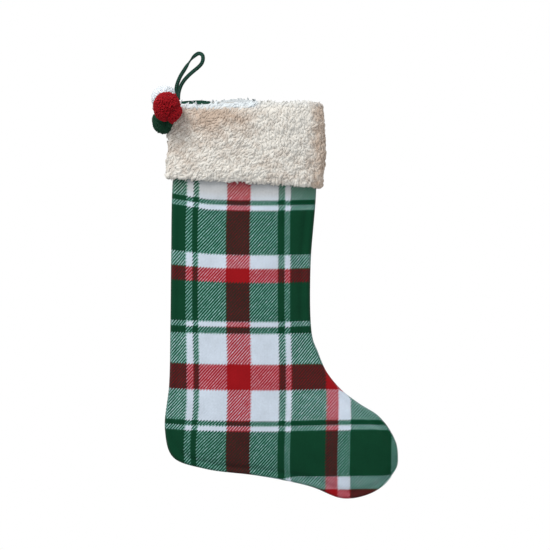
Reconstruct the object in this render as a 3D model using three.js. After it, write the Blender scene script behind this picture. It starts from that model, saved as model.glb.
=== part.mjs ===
// A Christmas stocking of plaid flannel with a turned-down sherpa cuff, a fabric hanging loop and three
// yarn pom-poms. Millimetres, +Z up, the front towards -Y and the toe towards +X. The origin is the inside
// top of the hanging loop, where a hook carries the stocking.
import * as THREE from 'three';

// Pairs of points on the two edges of the stocking, from the rim of the mouth down to the toe. Each pair
// ends one row across the cloth: heel is on the heel and sole side, instep on the other. [x, z]
const STATIONS = [
  { heel: [-23, -63], instep: [150, -62] },
  { heel: [-33, -161], instep: [150, -172] },
  { heel: [-35, -262], instep: [143, -265] },
  { heel: [-36, -352], instep: [143, -342] },
  { heel: [-37.5, -422], instep: [146, -365] },
  { heel: [-43, -480], instep: [152, -380] },
  { heel: [-33, -515], instep: [157, -393] },
  { heel: [8, -530], instep: [164, -407] },
  { heel: [77, -539], instep: [182, -429] },
  { heel: [143, -552], instep: [205, -447] },
  { heel: [184, -566], instep: [230, -463] },
  { heel: [217, -563], instep: [246, -483] },
  { heel: [240, -550], instep: [254, -502] },
  { heel: [250, -536], instep: [255, -517] },
];
const LAST_STATION = STATIONS.length - 1;
const CUFF_SPAN = 1 / LAST_STATION; // the cuff covers the first stretch between two stations

// The two halves of every layer meet at the side seams, in the plane y = 0.
const SEAM_HALF_GAP = 0.75;
const FRONT = { side: -1, depth: 15, rimShift: -4 };
const BACK = { side: 1, depth: 11, rimShift: 4 };
const FULLNESS = 0.85; // below 1 the section across the cloth is fuller than an ellipse
const TOE_TAPER_START = 0.62; // where along the stocking it starts to flatten towards the toe
const TOE_BOW = 3; // how far the last row bows out between its ends
const END_SHARE = 0.1; // the last share of the length, over which an inset also acts at the toe

const SHELL_THICKNESS = 1.5;
const LINING_THICKNESS = 1.1;
const LINING_INSET = 4.5;
const LINING_DEPTH_LOSS = 2.8;
const LINING_RISE = 1.5;

const CUFF_CLEARANCE = 0.6;
const CUFF_SIDE_CLEARANCE = 3;
const CUFF_LIFT = 0.8;
const CUFF_RISE = 1.5;
const CUFF_THICKNESS = { rim: 3.5, full: 9, hem: 6.5 };
const PILE_FULL_FROM = 0.2; // shares of the way from rim to hem between which the pile is at its thickest
const PILE_FULL_TO = 0.85;
const CUFF_OVERHANG = { rim: 5.5, heelHem: 12.5, instepMiddle: 12.5, instepHem: 8.5 };
const BACK_PLANE = 21.5; // the back of the cuff is flat where it rests on a wall

const ROWS = { panel: 26, cuff: 8 };
const COLUMNS = 10;

const SEAM_THREAD_RADIUS = 0.4;
const SEAM_INSET = 1.3;
const SEAM_BELOW_RIM = 0.01; // where the panel seams start, as a share of the stocking's length
const SEAM_TOE_CORNER = 0.35; // how far across the toe from each edge a panel seam turns
const MOUTH_SEAM = { rise: 0.9, first: 0.02, last: 0.98, points: 8 };
const CUFF_SEAM = { first: 0.06, last: 0.95, points: 9 };
const THREAD_SIDES = 6;
const SEAM_STEPS = { panel: 60, mouth: 36, cuff: 6 };

// The hanging loop, from one sewn end up, over the hook and down to the other. [x, y, z]
const LOOP_ROUTE = [
  [-25.6, -2.6, -57], [-28.2, -2.6, -48.6], [-28.8, -2.6, -41], [-24.6, -2.8, -28.2], [-18, -3, -17.2],
  [-11.7, -3.2, -7.4], [-5.8, -3.6, -0.6], [0, -4, 2.8], [4.4, -4.4, 0.8], [5.4, -4.8, -4.5],
  [3.7, -5, -10], [-0.8, -5.2, -15.1], [-6.7, -5.3, -20], [-13.3, -5.4, -25.9], [-19.4, -5.4, -32.8],
  [-23.6, -5.4, -40.3], [-25.4, -5.4, -48], [-25.6, -5.4, -57],
];
const STRAP = { width: 5, thickness: 2.2, sides: 10, steps: 40 };

const TACK = { centre: [-25, -4, -59.8], coil: 0.9, thread: 0.35, length: 3.2, turns: 3, steps: 24 };
const TACK_POINTS = 25; // that the coil's curve runs through

// Each pom-pom hangs on a yarn tail that comes out of its core. tail is the tail's end by the bar tack,
// and bend is the point that bends the tail on its way.
const POM_POMS = {
  white: { centre: [-44.3, 13, -55], radius: 13.5, tail: [-28.8, 0.2, -59.8], bend: [-33, 4, -58] },
  red: { centre: [-39.8, -26.5, -67.5], radius: 15.5, tail: [-28.8, -8.5, -62], bend: [-31.5, -13, -62] },
  green: { centre: [-48, -2.5, -84.5], radius: 13, tail: [-29.5, -4, -61], bend: [-36, -4, -61] },
};
const YARN_RADIUS = 0.8;
const YARN_STEPS = 12;
const CORE_GAP = 1; // from the bottom of the bore to the end of the yarn
const POM_BORE_RADIUS = 1.2;
const POM_ARC_STEPS = 9;
const POM_SEGMENTS = 14;

const PLAID = { color: 0x5c6b5f, roughness: 0.95, metalness: 0 };
const LINING = { color: 0x1c4232, roughness: 0.8, metalness: 0 };
const SHERPA = { color: 0xd6cdbf, roughness: 1, metalness: 0 };
const GREEN_THREAD = { color: 0x12392a, roughness: 0.7, metalness: 0 };
const CREAM_THREAD = { color: 0xd9d0c2, roughness: 0.7, metalness: 0 };
const LOOP_TAPE = { color: 0x1b382c, roughness: 0.8, metalness: 0 };
const YARN = {
  white: { color: 0xd9e2e6, roughness: 1, metalness: 0 },
  red: { color: 0x8a0f1a, roughness: 1, metalness: 0 },
  green: { color: 0x12392a, roughness: 1, metalness: 0 },
};

const stocking = new THREE.Group();

function vector([x, y, z]) {
  return new THREE.Vector3(x, y, z);
}

function part(name, geometry, finish, parent = stocking) {
  const mesh = new THREE.Mesh(geometry, new THREE.MeshStandardMaterial(finish));
  mesh.name = name;
  parent.add(mesh);
  return mesh;
}

function edgeCurve(edge) {
  const points = STATIONS.map((station) => new THREE.Vector3(station[edge][0], 0, station[edge][1]));
  return new THREE.CatmullRomCurve3(points, false, 'centripetal');
}

const HEEL_EDGE = edgeCurve('heel');
const INSTEP_EDGE = edgeCurve('instep');

// The line across the cloth at u, from 0 at the rim to 1 at the toe. Its ends move in by an inset each,
// and out where the inset is negative.
function rowAcross(u, heelInset, instepInset) {
  const heel = HEEL_EDGE.getPoint(u);
  const instep = INSTEP_EDGE.getPoint(u);
  const across = instep.clone().sub(heel).normalize();
  const towardsToe = new THREE.Vector3(across.z, 0, -across.x);
  const nearToe = THREE.MathUtils.smoothstep(u, 1 - END_SHARE, 1);
  const back = -nearToe * Math.max(heelInset, 0);
  heel.addScaledVector(across, heelInset).addScaledVector(towardsToe, back);
  instep.addScaledVector(across, -instepInset).addScaledVector(towardsToe, back);
  return { heel, instep, bow: towardsToe.multiplyScalar(nearToe * TOE_BOW) };
}

// How much of the full depth the section keeps at u: all of it in the leg, none at the toe.
function depthShare(u) {
  const along = Math.max(0, (u - TOE_TAPER_START) / (1 - TOE_TAPER_START));
  return Math.sqrt(1 - along ** 2);
}

// A point of a layer, at u along the stocking and v across it from the heel side. lift moves the whole
// layer away from the seam plane, and depth is how far its middle stands out beyond that.
function layerPoint({ side, rimShift }, u, v, { lift, depth, heelInset, instepInset, rise = 0 }) {
  const row = rowAcross(u, heelInset, instepInset);
  const angle = Math.PI * v;
  const across = (1 - Math.cos(angle)) / 2;
  const point = row.heel.clone().lerp(row.instep, across);
  point.addScaledVector(row.bow, 4 * across * (1 - across));
  const swell = Math.sin(angle) ** FULLNESS;
  point.y = side * (SEAM_HALF_GAP + lift + depth * depthShare(u) * swell);
  const nearRim = Math.max(0, 1 - u / CUFF_SPAN);
  point.z += nearRim * (rise + rimShift * Math.sin(angle) * (1 - across));
  return point;
}

// Orders the corners of every triangle so that the faces of a closed body point out.
function facingOut(geometry) {
  const position = geometry.getAttribute('position');
  const order = geometry.index.array;
  let volume = 0;
  for (let i = 0; i < order.length; i += 3) {
    const [a, b, c] = [0, 1, 2].map((k) => new THREE.Vector3().fromBufferAttribute(position, order[i + k]));
    volume += a.dot(b.cross(c));
  }
  for (let i = 0; volume < 0 && i < order.length; i += 3) {
    [order[i + 1], order[i + 2]] = [order[i + 2], order[i + 1]];
  }
  geometry.computeVertexNormals();
  return geometry;
}

// A closed sheet between two surfaces, each a function of u and v from 0 to 1.
function closedSheet(outer, inner, rows, columns) {
  const positions = [];
  for (const surface of [outer, inner]) {
    for (let i = 0; i <= rows; i += 1) {
      for (let j = 0; j <= columns; j += 1) {
        positions.push(...surface(i / rows, j / columns));
      }
    }
  }
  const layer = (rows + 1) * (columns + 1);
  const at = (i, j) => i * (columns + 1) + j;
  const index = [];
  const quad = (a, b, c, d) => index.push(a, b, c, a, c, d);
  for (let i = 0; i < rows; i += 1) {
    for (let j = 0; j < columns; j += 1) {
      quad(at(i, j), at(i + 1, j), at(i + 1, j + 1), at(i, j + 1));
      quad(layer + at(i, j), layer + at(i, j + 1), layer + at(i + 1, j + 1), layer + at(i + 1, j));
    }
  }
  for (let i = 0; i < rows; i += 1) {
    quad(at(i, 0), layer + at(i, 0), layer + at(i + 1, 0), at(i + 1, 0));
    quad(at(i, columns), at(i + 1, columns), layer + at(i + 1, columns), layer + at(i, columns));
  }
  for (let j = 0; j < columns; j += 1) {
    quad(at(0, j), at(0, j + 1), layer + at(0, j + 1), layer + at(0, j));
    quad(at(rows, j), layer + at(rows, j), layer + at(rows, j + 1), at(rows, j + 1));
  }
  const geometry = new THREE.BufferGeometry();
  geometry.setAttribute('position', new THREE.Float32BufferAttribute(positions, 3));
  geometry.setIndex(new THREE.BufferAttribute(new Uint32Array(index), 1));
  return facingOut(geometry);
}

function shellPanel(half) {
  const layer = { depth: half.depth, heelInset: 0, instepInset: 0 };
  const outer = (u, v) => layerPoint(half, u, v, { ...layer, lift: SHELL_THICKNESS });
  const inner = (u, v) => layerPoint(half, u, v, { ...layer, lift: 0 });
  return closedSheet(outer, inner, ROWS.panel, COLUMNS);
}

function liningPanel(half) {
  const layer = {
    depth: half.depth - LINING_DEPTH_LOSS,
    heelInset: LINING_INSET,
    instepInset: LINING_INSET,
    rise: LINING_RISE,
  };
  const outer = (u, v) => layerPoint(half, u, v, { ...layer, lift: LINING_THICKNESS });
  const inner = (u, v) => layerPoint(half, u, v, { ...layer, lift: 0 });
  return closedSheet(outer, inner, ROWS.panel, COLUMNS);
}

// How thick the pile stands at w, from 0 at the rim to 1 at the hem: it rounds over at both.
function pileThickness(w) {
  const { rim, full, hem } = CUFF_THICKNESS;
  const overRim = THREE.MathUtils.lerp(rim, full, Math.sin((Math.PI / 2) * Math.min(1, w / PILE_FULL_FROM)));
  const atHem = THREE.MathUtils.smoothstep(w, PILE_FULL_TO, 1);
  return THREE.MathUtils.lerp(overRim, hem, atHem);
}

// How far the cuff stands out past the shell's edge on each side at w.
function cuffOverhang(w) {
  const { rim, heelHem, instepMiddle, instepHem } = CUFF_OVERHANG;
  const ends = THREE.MathUtils.lerp(rim, instepHem, w);
  return {
    heel: THREE.MathUtils.lerp(rim, heelHem, w),
    instep: ends + (instepMiddle - (rim + instepHem) / 2) * Math.sin(Math.PI * w),
  };
}

function cuffPanel(half) {
  const shellDepth = half.depth + SHELL_THICKNESS;
  const inner = (w, v) => layerPoint(half, w * CUFF_SPAN, v, {
    lift: CUFF_LIFT,
    depth: shellDepth + CUFF_CLEARANCE - CUFF_LIFT,
    heelInset: -CUFF_SIDE_CLEARANCE,
    instepInset: -CUFF_SIDE_CLEARANCE,
    rise: CUFF_RISE,
  });
  const outer = (w, v) => {
    const overhang = cuffOverhang(w);
    const point = layerPoint(half, w * CUFF_SPAN, v, {
      lift: 0,
      depth: shellDepth + pileThickness(w),
      heelInset: -overhang.heel,
      instepInset: -overhang.instep,
      rise: CUFF_RISE,
    });
    point.y = Math.min(point.y, BACK_PLANE);
    return point;
  };
  return closedSheet(outer, inner, ROWS.cuff, COLUMNS);
}

function thread(points, radius, steps, sides = THREAD_SIDES) {
  const section = new THREE.Shape();
  section.absarc(0, 0, radius, 0, 2 * Math.PI);
  return new THREE.ExtrudeGeometry(section, {
    steps,
    curveSegments: sides / 2, // a full turn has two of these for each
    bevelEnabled: false,
    extrudePath: new THREE.CatmullRomCurve3(points, false, 'centripetal'),
  });
}

// Evenly spaced numbers from first to last.
function spread(first, last, count) {
  return Array.from({ length: count }, (_, i) => THREE.MathUtils.lerp(first, last, i / (count - 1)));
}

// The seam that joins the two panels of one layer, down one edge, round the toe and up the other.
function panelSeam(inset) {
  const flat = { side: 1, rimShift: 0 };
  const layer = { lift: -SEAM_HALF_GAP, depth: 0, heelInset: inset, instepInset: inset };
  const along = spread(SEAM_BELOW_RIM, 1, 2 * LAST_STATION + 1);
  const down = along.map((u) => layerPoint(flat, u, 0, layer));
  const round = [SEAM_TOE_CORNER, 1 - SEAM_TOE_CORNER].map((v) => layerPoint(flat, 1, v, layer));
  const up = along.reverse().map((u) => layerPoint(flat, u, 1, layer));
  return thread([...down, ...round, ...up], SEAM_THREAD_RADIUS, SEAM_STEPS.panel);
}

// The seam that closes the mouth runs along the top of the shell, in the channel between cuff and lining.
function mouthSeam() {
  const layer = { lift: SHELL_THICKNESS / 2, heelInset: 0, instepInset: 0, rise: MOUTH_SEAM.rise };
  const across = spread(MOUTH_SEAM.first, MOUTH_SEAM.last, MOUTH_SEAM.points);
  const front = across.map((v) => layerPoint(FRONT, 0, v, { ...layer, depth: FRONT.depth }));
  const back = across.reverse().map((v) => layerPoint(BACK, 0, v, { ...layer, depth: BACK.depth }));
  return thread([...front, ...back], SEAM_THREAD_RADIUS, SEAM_STEPS.mouth);
}

// The seam that joins the two halves of the cuff at one side, in the middle of the pile there.
function cuffSideSeam(edge) {
  const points = spread(CUFF_SEAM.first, CUFF_SEAM.last, CUFF_SEAM.points).map((w) => {
    const middle = (cuffOverhang(w)[edge] + CUFF_SIDE_CLEARANCE) / 2;
    return rowAcross(w * CUFF_SPAN, -middle, -middle)[edge];
  });
  return thread(points, SEAM_THREAD_RADIUS, SEAM_STEPS.cuff);
}

function hangingLoop() {
  const section = new THREE.Shape();
  section.absellipse(0, 0, STRAP.width / 2, STRAP.thickness / 2, 0, 2 * Math.PI);
  return new THREE.ExtrudeGeometry(section, {
    steps: STRAP.steps,
    curveSegments: STRAP.sides / 2,
    bevelEnabled: false,
    extrudePath: new THREE.CatmullRomCurve3(LOOP_ROUTE.map(vector), false, 'centripetal'),
  });
}

function barTack() {
  const [x, y, z] = TACK.centre;
  const points = spread(0, 1, TACK_POINTS).map((share) => {
    const angle = 2 * Math.PI * TACK.turns * share;
    const along = TACK.length * (share - 0.5);
    return vector([x + along, y + TACK.coil * Math.cos(angle), z + TACK.coil * Math.sin(angle)]);
  });
  return thread(points, TACK.thread, TACK.steps);
}

// A ball with a narrow bore from its surface to its core, where the yarn tail comes out. The bore's mouth
// faces +Y here.
function pomPomBall(radius) {
  const mouth = Math.asin(POM_BORE_RADIUS / radius);
  const profile = [new THREE.Vector2(0, 0), new THREE.Vector2(POM_BORE_RADIUS, 0)];
  for (let i = 0; i <= POM_ARC_STEPS; i += 1) {
    const angle = mouth + ((Math.PI - mouth) * i) / POM_ARC_STEPS;
    profile.push(new THREE.Vector2(radius * Math.sin(angle), radius * Math.cos(angle)));
  }
  profile[profile.length - 1].x = 0;
  return new THREE.LatheGeometry(profile.reverse(), POM_SEGMENTS);
}

function addPomPom(colour, { centre, radius, tail, bend }) {
  const middle = vector(centre);
  const way = vector(bend).sub(middle).normalize();
  const ball = part(`pom_pom_${colour}`, pomPomBall(radius), YARN[colour]);
  ball.position.copy(middle);
  ball.quaternion.setFromUnitVectors(new THREE.Vector3(0, 1, 0), way);
  const core = middle.clone().addScaledVector(way, CORE_GAP);
  const rim = middle.clone().addScaledVector(way, radius);
  const yarn = thread([core, rim, vector(bend), vector(tail)], YARN_RADIUS, YARN_STEPS);
  part(`pom_tie_${colour}`, yarn, YARN[colour]);
}

part('shell_front', shellPanel(FRONT), PLAID);
part('shell_back', shellPanel(BACK), PLAID);
part('lining_front', liningPanel(FRONT), LINING);
part('lining_back', liningPanel(BACK), LINING);
part('cuff_front', cuffPanel(FRONT), SHERPA);
part('cuff_back', cuffPanel(BACK), SHERPA);
part('shell_seam_thread', panelSeam(SEAM_INSET), GREEN_THREAD);
part('lining_seam_thread', panelSeam(LINING_INSET + SEAM_INSET), GREEN_THREAD);
part('mouth_seam_thread', mouthSeam(), CREAM_THREAD);
part('cuff_heel_seam_thread', cuffSideSeam('heel'), CREAM_THREAD);
part('cuff_instep_seam_thread', cuffSideSeam('instep'), CREAM_THREAD);
part('loop_bar_tack', barTack(), GREEN_THREAD);
part('hanging_loop', hangingLoop(), LOOP_TAPE);
for (const [colour, sizes] of Object.entries(POM_POMS)) {
  addPomPom(colour, sizes);
}

export default stocking;
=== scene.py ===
"""A Christmas stocking of plaid flannel with a sherpa cuff, a hanging loop and yarn pom-poms.

Everything is in metres in the CAD frame: +Z up, the front towards -Y, the toe towards +X, and the origin
inside the top of the hanging loop. Sizes below are in millimetres, and MM turns them into metres."""
import itertools
import math

import bmesh
import bpy
import numpy as np
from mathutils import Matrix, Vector, noise


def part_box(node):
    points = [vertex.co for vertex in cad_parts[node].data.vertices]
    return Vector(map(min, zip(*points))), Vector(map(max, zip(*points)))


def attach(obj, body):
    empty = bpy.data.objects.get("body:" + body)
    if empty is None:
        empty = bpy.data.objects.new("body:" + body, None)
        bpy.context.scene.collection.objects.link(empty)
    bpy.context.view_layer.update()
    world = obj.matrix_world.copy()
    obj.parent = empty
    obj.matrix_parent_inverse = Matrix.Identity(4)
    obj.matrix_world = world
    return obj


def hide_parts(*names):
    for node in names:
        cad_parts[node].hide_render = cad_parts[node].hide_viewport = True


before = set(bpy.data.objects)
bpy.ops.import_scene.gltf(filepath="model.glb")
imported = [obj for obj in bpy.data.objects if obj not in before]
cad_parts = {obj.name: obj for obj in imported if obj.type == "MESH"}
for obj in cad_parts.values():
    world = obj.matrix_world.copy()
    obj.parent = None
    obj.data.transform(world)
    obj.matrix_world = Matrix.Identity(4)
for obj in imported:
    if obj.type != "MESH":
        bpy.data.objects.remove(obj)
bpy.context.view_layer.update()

MM = 0.001

# ------------------------------ driving sizes

# Pairs of points (x, z) on the heel edge and the instep edge, from the rim of the mouth down to the toe.
# They are those of the CAD model, apart from a few near the toe, which differ by up to 2.5 mm.
HEEL_EDGE = [(-23, -63), (-33, -161), (-35, -262), (-36, -352), (-37.5, -422), (-43, -480), (-33, -515),
             (8, -530), (77, -539), (143, -552.5), (185, -568), (217, -563), (238.5, -550), (249.3, -535.5)]
INSTEP_EDGE = [(150, -62), (150, -172), (143, -265), (143, -342), (146, -365), (152, -380), (157, -393),
               (164, -407), (182, -429), (205, -447), (230, -463), (246, -483), (254, -502), (255, -517)]
CUFF_SPAN = 1 / (len(HEEL_EDGE) - 1)  # the cuff covers the stretch between the first two pairs

# The two halves of every layer: depth is how far the middle swells out, and rim_shift how much higher the
# rim stands between its ends, most of all on the heel side.
FRONT = {"side": -1, "depth": 15, "rim_shift": -4}
BACK = {"side": 1, "depth": 11, "rim_shift": 4}
HALVES = ((FRONT, "front"), (BACK, "back"))
SEAM_HALF_GAP = 0.25
FULLNESS = 0.85  # below 1 the section across the cloth is fuller than an ellipse
TOE_TAPER_START = 0.62  # where along the stocking it starts to flatten towards the toe
TOE_BOW = 2  # how far the last row bows out between its ends
END_SHARE = 0.1  # the last share of the length, over which an inset also acts at the toe
BACK_PLANE = 21.5  # the back of the cuff is flat where it rests on a wall

# The hanging loop's middle line, from one sewn end up, over the hook and down to the other.
LOOP_ROUTE = [
    (-25.6, -2.6, -57), (-28.2, -2.6, -48.6), (-28.8, -2.6, -41), (-24.6, -2.8, -28.2), (-18, -3, -17.2),
    (-11.7, -3.2, -7.4), (-5.8, -3.6, -0.6), (0, -4, 2.8), (4.4, -4.4, 0.8), (5.4, -4.8, -4.5),
    (3.7, -5, -10), (-0.8, -5.2, -15.1), (-6.7, -5.3, -20), (-13.3, -5.4, -25.9), (-19.4, -5.4, -32.8),
    (-23.6, -5.4, -40.3), (-25.4, -5.4, -48), (-25.6, -5.4, -57),
]

# ------------------------------ curves and meshes


def centripetal(points, count):
    """count points along a centripetal Catmull-Rom curve, evenly spaced in the curve's own parameter."""
    p = np.asarray(points, float)
    p = np.vstack([2 * p[0] - p[1], p, 2 * p[-1] - p[-2]])
    spans = len(p) - 3
    out = []
    for t in np.linspace(0, spans, count):
        i = min(int(t), spans - 1)
        a, b, c, d = p[i:i + 4]
        knots = [0.0]
        for one, two in ((a, b), (b, c), (c, d)):
            knots.append(knots[-1] + max(np.linalg.norm(two - one) ** 0.5, 1e-4))
        k0, k1, k2, k3 = knots
        x = k1 + (t - i) * (k2 - k1)
        ab = (k1 - x) / (k1 - k0) * a + (x - k0) / (k1 - k0) * b
        bc = (k2 - x) / (k2 - k1) * b + (x - k1) / (k2 - k1) * c
        cd = (k3 - x) / (k3 - k2) * c + (x - k2) / (k3 - k2) * d
        abc = (k2 - x) / (k2 - k0) * ab + (x - k0) / (k2 - k0) * bc
        bcd = (k3 - x) / (k3 - k1) * bc + (x - k1) / (k3 - k1) * cd
        out.append((k2 - x) / (k2 - k1) * abc + (x - k1) / (k2 - k1) * bcd)
    return np.array(out)


def resampled(line, count):
    """The same line with evenly spaced points."""
    steps = np.linalg.norm(np.diff(line, axis=0), axis=1)
    along = np.concatenate([[0], np.cumsum(steps)])
    wanted = np.linspace(0, along[-1], count)
    return np.column_stack([np.interp(wanted, along, line[:, k]) for k in range(line.shape[1])])


def unit(v):
    return v / np.maximum(np.linalg.norm(v, axis=-1, keepdims=True), 1e-12)


def smoothstep(x, low, high):
    t = np.clip((x - low) / (high - low), 0, 1)
    return t * t * (3 - 2 * t)


def add_attributes(mesh, attributes):
    """Gives a mesh named attributes: numbers or vectors, one a point."""
    for key, values in attributes.items():
        values = np.asarray(values, np.float32)
        kind, field = ("FLOAT", "value") if values.ndim == 1 else ("FLOAT_VECTOR", "vector")
        mesh.attributes.new(key, kind, "POINT").data.foreach_set(field, values.ravel())


def new_piece(name, verts, faces, attributes=None):
    """A smooth mesh object from points in metres."""
    mesh = bpy.data.meshes.new(name)
    mesh.from_pydata(np.asarray(verts, float).tolist(), [], [list(map(int, f)) for f in faces])
    add_attributes(mesh, attributes or {})
    bm = bmesh.new()
    bm.from_mesh(mesh)
    bmesh.ops.recalc_face_normals(bm, faces=bm.faces)
    bm.to_mesh(mesh)
    bm.free()
    mesh.polygons.foreach_set("use_smooth", [True] * len(mesh.polygons))
    piece = bpy.data.objects.new(name, mesh)
    bpy.context.scene.collection.objects.link(piece)
    return piece


def facing_out(grid, half):
    """The grid's normals, turned so that they point away from the inside of the stocking."""
    normals = unit(np.cross(np.gradient(grid, axis=0), np.gradient(grid, axis=1)))
    return normals if np.sum(normals[..., 1] * half["side"]) > 0 else -normals


EDGE_ROUNDING = 0.5  # how far the edge of a sheet bulges, as a share of the sheet's thickness


def closed_sheet(outer, inner):
    """Points and faces of a closed sheet between two grids, with a rounded edge all round, and the numbers
    of the points along the grids' border."""
    rows, cols = outer.shape[:2]
    number = np.arange(rows * cols).reshape(rows, cols)
    corners = [number[:-1, :-1], number[1:, :-1], number[1:, 1:], number[:-1, 1:]]
    quads = np.stack(corners, -1).reshape(-1, 4)
    faces = quads.tolist() + (quads[:, ::-1] + rows * cols).tolist()
    ring = np.concatenate([number[0, :-1], number[:-1, -1], number[-1, :0:-1], number[:0:-1, 0]])
    flat_outer = outer.reshape(-1, 3)
    flat_inner = inner.reshape(-1, 3)
    middle = (flat_outer[ring] + flat_inner[ring]) / 2
    tangent = np.roll(middle, -1, axis=0) - np.roll(middle, 1, axis=0)
    through = flat_outer[ring] - flat_inner[ring]
    outward = unit(np.cross(tangent, through))
    centre = middle.mean(axis=0)
    if np.sum((middle - centre) * outward) < 0:
        outward = -outward
    middle = middle + outward * np.linalg.norm(through, axis=1, keepdims=True) * EDGE_ROUNDING
    first = 2 * rows * cols
    for i in range(len(ring)):
        j = (i + 1) % len(ring)
        faces.append([ring[i], ring[j], first + j, first + i])
        faces.append([first + i, first + j, rows * cols + ring[j], rows * cols + ring[i]])
    return np.vstack([flat_outer, flat_inner, middle]), faces, ring


def tube_mesh(line, radii, sides, ups=None, flat=1.0, turn=None):
    """Points and faces of a tube with rounded ends along a line. flat is the thickness as a share of the
    width, ups the direction of the thickness at each point, and turn a further twist in radians."""
    count = len(line)
    tangent = unit(np.gradient(line, axis=0))
    if ups is None:
        ups = transported(tangent)
    ups = unit(ups - tangent * np.sum(ups * tangent, axis=1, keepdims=True))
    wide = np.cross(tangent, ups)
    turn = np.zeros(count) if turn is None else turn
    angle = np.linspace(0, 2 * math.pi, sides, endpoint=False)[None, :] + 0 * turn[:, None]
    cos, sin = np.cos(angle)[..., None], np.sin(angle)[..., None] * flat
    c, s = np.cos(turn)[:, None, None], np.sin(turn)[:, None, None]
    w, u = wide[:, None, :], ups[:, None, :]
    ring = cos * (w * c + u * s) + sin * (u * c - w * s)
    points = line[:, None, :] + ring * np.asarray(radii, float)[:, None, None]
    verts = np.vstack([points.reshape(-1, 3), line[:1], line[-1:]])
    faces = []
    for i in range(count - 1):
        for k in range(sides):
            m = (k + 1) % sides
            faces.append([i * sides + k, i * sides + m, (i + 1) * sides + m, (i + 1) * sides + k])
    start, end = count * sides, count * sides + 1
    for k in range(sides):
        m = (k + 1) % sides
        faces.append([start, m, k])
        faces.append([end, (count - 1) * sides + k, (count - 1) * sides + m])
    return verts, faces


def transported(tangent):
    """Directions across a line that turn no more than the line does."""
    seed = np.array([0, 1, 0.0]) if abs(tangent[0][1]) < 0.9 else np.array([1.0, 0, 0])
    out = [unit(seed - tangent[0] * np.dot(seed, tangent[0]))]
    for t in tangent[1:]:
        v = out[-1] - t * np.dot(out[-1], t)
        out.append(v / np.linalg.norm(v))
    return np.array(out)


class Bundle:
    """Collects many small meshes and their attributes into one piece."""

    def __init__(self):
        self.verts = []
        self.faces = []
        self.attributes = {}
        self.count = 0

    def add(self, verts, faces, **attributes):
        self.verts.append(np.asarray(verts, float))
        self.faces.extend([[k + self.count for k in f] for f in faces])
        self.count += len(verts)
        for key, values in attributes.items():
            self.attributes.setdefault(key, []).append(np.broadcast_to(values, (len(verts),)))

    def piece(self, name):
        attributes = {key: np.concatenate(values) for key, values in self.attributes.items()}
        return new_piece(name, np.vstack(self.verts), self.faces, attributes)


# ------------------------------ camera, light and floor, in metres

FRAME_WIDTH = 0.704  # how much the camera sees at the stocking
FRAME_CENTRE = Vector((0.0978, -0.012, -0.2816))
CAMERA_DISTANCE = 2.8
FLOOR_HEIGHT = -0.95
FLOOR_REACH = 2.4


def add_camera():
    data = bpy.data.cameras.new("camera")
    data.sensor_width = 36
    data.lens = data.sensor_width * CAMERA_DISTANCE / FRAME_WIDTH
    data.clip_end = 20
    camera = bpy.data.objects.new("camera", data)
    camera.location = FRAME_CENTRE + Vector((0, -CAMERA_DISTANCE, 0))
    camera.rotation_euler = (math.pi / 2, 0, 0)
    bpy.context.scene.collection.objects.link(camera)
    bpy.context.scene.camera = camera


def add_area_light(name, place, size, power, colour):
    """A square light that faces the stocking."""
    data = bpy.data.lights.new(name, "AREA")
    data.shape = "RECTANGLE"
    data.size = data.size_y = size
    data.energy = power
    data.color = colour
    light = bpy.data.objects.new(name, data)
    light.location = place
    light.rotation_euler = (FRAME_CENTRE - Vector(place)).to_track_quat("-Z", "Y").to_euler()
    bpy.context.scene.collection.objects.link(light)


def add_lights():
    """A key light from the upper left, a weak fill from the right, and soft light from all round. What the
    camera sees of the surroundings is plain white."""
    add_area_light("key_light", place=(-1.4, -1.6, 2.2), size=1.3, power=82, colour=(1, 0.99, 0.97))
    add_area_light("fill_light", place=(1.7, -2.0, -0.1), size=1.8, power=8, colour=(0.96, 0.98, 1))
    world = bpy.data.worlds.new("studio")
    world.use_nodes = True
    nodes, links = world.node_tree.nodes, world.node_tree.links
    soft_light = nodes["Background"]
    soft_light.inputs["Color"].default_value = (0.93, 0.97, 1, 1)
    soft_light.inputs["Strength"].default_value = 0.66
    white_paper = nodes.new("ShaderNodeBackground")
    white_paper.inputs["Color"].default_value = (1, 1, 1, 1)
    seen = nodes.new("ShaderNodeLightPath").outputs["Is Camera Ray"]
    choice = nodes.new("ShaderNodeMixShader")
    links.new(seen, choice.inputs[0])
    links.new(soft_light.outputs[0], choice.inputs[1])
    links.new(white_paper.outputs[0], choice.inputs[2])
    links.new(choice.outputs[0], nodes["World Output"].inputs["Surface"])
    bpy.context.scene.world = world
    bpy.context.scene.view_settings.view_transform = "Standard"


def add_floor():
    """A plain pale floor well below the toe. Only the camera sees it: it throws no light on the cloth."""
    signs = ((-1, -1), (1, -1), (1, 1), (-1, 1))
    corners = [(FLOOR_REACH * x, FLOOR_REACH * y, FLOOR_HEIGHT) for x, y in signs]
    floor = new_piece("floor", corners, [[0, 1, 2, 3]])
    floor.visible_diffuse = False
    floor.visible_glossy = False
    material = bpy.data.materials.new("floor_paint")
    material.use_nodes = True
    shader = material.node_tree.nodes["Principled BSDF"]
    shader.inputs["Base Color"].default_value = (0.2, 0.2, 0.2, 1)
    shader.inputs["Roughness"].default_value = 1
    shader.inputs["Specular IOR Level"].default_value = 0
    shader.inputs["Emission Color"].default_value = (1, 1, 1, 1)
    shader.inputs["Emission Strength"].default_value = 0.85
    floor.data.materials.append(material)


# ------------------------------ materials

CHANNELS = ("Red", "Green", "Blue")


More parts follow.
